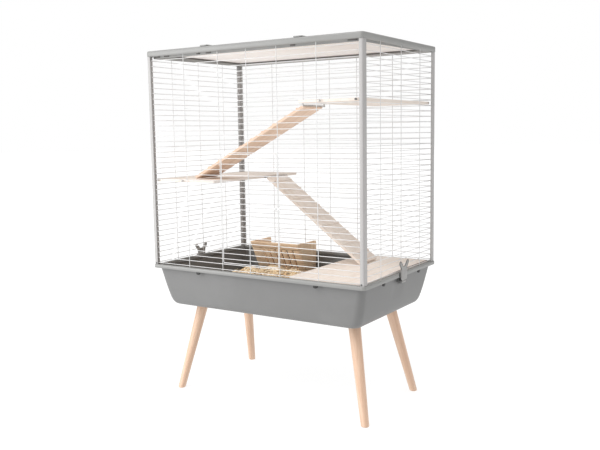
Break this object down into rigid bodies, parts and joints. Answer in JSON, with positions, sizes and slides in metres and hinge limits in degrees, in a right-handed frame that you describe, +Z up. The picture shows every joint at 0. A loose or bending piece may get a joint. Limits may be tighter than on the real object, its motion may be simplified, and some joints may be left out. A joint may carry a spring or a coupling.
{
  "type": "rabbit hutch",
  "caption": "Tall wire small-animal hutch: grey plastic tub on splayed turned legs, grey corner posts, wire grilles, wood shelves, ramps and a hay rack.",
  "frame": {"origin": "on the floor under the middle of the cage", "axes": "+X along the long side to the right seen from the front, +Y to the back, +Z up"},
  "size_m": [0.7956, 0.4952, 1.1269],
  "materials": {
    "grey_plastic": "satin moulded",
    "grey_frame": "satin moulded",
    "dark_plastic": "matte",
    "white_wire": "gloss coated wire",
    "pale_board": "smooth sanded board",
    "beech": "smooth turned",
    "rack_wood": "sawn board",
    "zinc": "zinc plated",
    "hay": "loose fibres"
  },
  "bodies": {
    "stand": {"tub": "grey_plastic", "platform": "pale_board", "hay_heap": "hay", "latch_bracket_left": "grey_plastic", "latch_bracket_right": "grey_plastic", "leg_front_left": "beech", "leg_plate_front_left": "dark_plastic", "leg_front_right": "beech", "leg_plate_front_right": "dark_plastic", "leg_back_left": "beech", "leg_plate_back_left": "dark_plastic", "leg_back_right": "beech", "leg_plate_back_right": "dark_plastic"},
    "cage": {"base_frame": "grey_frame", "post_front_left": "grey_frame", "post_screw_front_left": "zinc", "post_front_right": "grey_frame", "post_screw_front_right": "zinc", "post_back_left": "grey_frame", "post_screw_back_left": "zinc", "post_back_right": "grey_frame", "post_screw_back_right": "zinc", "top_frame": "grey_frame", "grille_front": "white_wire", "grille_back": "white_wire", "grille_left": "white_wire", "grille_right": "white_wire", "shelf_upper": "pale_board", "shelf_middle": "pale_board", "shelf_bolt_upper_inner_front": "zinc", "shelf_bolt_upper_inner_back": "zinc", "shelf_bolt_upper_outer_front": "zinc", "shelf_bolt_upper_outer_back": "zinc", "shelf_bolt_middle_inner_front": "zinc", "shelf_bolt_middle_inner_back": "zinc", "shelf_bolt_middle_outer_front": "zinc", "shelf_bolt_middle_outer_back": "zinc", "ramp_rod_upper": "zinc", "ramp_rod_lower": "zinc"},
    "hay_rack": {"rack_front": "rack_wood", "rack_cheek_left": "rack_wood", "rack_cheek_right": "rack_wood", "rack_base": "rack_wood", "rack_back_rail": "rack_wood"},
    "roof": {"roof_board": "pale_board", "roof_hinge_left": "grey_frame", "roof_hinge_right": "grey_frame"},
    "door_body": {"door": "white_wire"},
    "door_latch_body": {"door_latch": "white_wire"},
    "latch_left_body": {"latch_left": "grey_frame"},
    "latch_right_body": {"latch_right": "grey_frame"},
    "roof_button_left_body": {"roof_button_left": "grey_frame"},
    "roof_button_right_body": {"roof_button_right": "grey_frame"},
    "ramp_upper_body": {"ramp_upper": "pale_board"},
    "ramp_lower_body": {"ramp_lower": "pale_board"}
  },
  "joints": [
    {"name": "cage_lift", "type": "slide", "parent": "stand", "child": "cage", "axis": [0, 0, 1], "range_m": [0, 0.15]},
    {"name": "rack_lift", "type": "slide", "parent": "stand", "child": "hay_rack", "axis": [0, 0, 1], "range_m": [0, 0.16]},
    {"name": "roof_hinge", "type": "hinge", "parent": "cage", "child": "roof", "pos_m": [0, 0.2395, 1.1237], "axis": [-1, 0, 0], "range_deg": [0, 100]},
    {"name": "roof_button_left_turn", "type": "hinge", "parent": "roof", "child": "roof_button_left_body", "pos_m": [-0.156, -0.2195, 1.12], "axis": [0, 0, 1], "range_deg": [0, 90]},
    {"name": "roof_button_right_turn", "type": "hinge", "parent": "roof", "child": "roof_button_right_body", "pos_m": [0.184, -0.2195, 1.12], "axis": [0, 0, -1], "range_deg": [0, 90]},
    {"name": "door_hinge", "type": "hinge", "parent": "cage", "child": "door_body", "pos_m": [-0.108, -0.2385, 0.6258], "axis": [0, 0, -1], "range_deg": [0, 110]},
    {"name": "door_latch_turn", "type": "hinge", "parent": "door_body", "child": "door_latch_body", "pos_m": [0.099, -0.2407, 0.6344], "axis": [0, -1, 0], "range_deg": [0, 90]},
    {"name": "latch_left_swing", "type": "hinge", "parent": "stand", "child": "latch_left_body", "pos_m": [-0.3935, 0, 0.405], "axis": [0, -1, 0], "range_deg": [0, 100]},
    {"name": "latch_right_swing", "type": "hinge", "parent": "stand", "child": "latch_right_body", "pos_m": [0.3935, 0, 0.405], "axis": [0, 1, 0], "range_deg": [0, 100]},
    {"name": "ramp_upper_swing", "type": "hinge", "parent": "cage", "child": "ramp_upper_body", "pos_m": [0.179, -0.153, 0.9325], "axis": [0, 1, 0], "range_deg": [0, 40]},
    {"name": "ramp_lower_swing", "type": "hinge", "parent": "cage", "child": "ramp_lower_body", "pos_m": [-0.1305, 0.0945, 0.707], "axis": [0, -1, 0], "range_deg": [0, 50]}
  ]
}
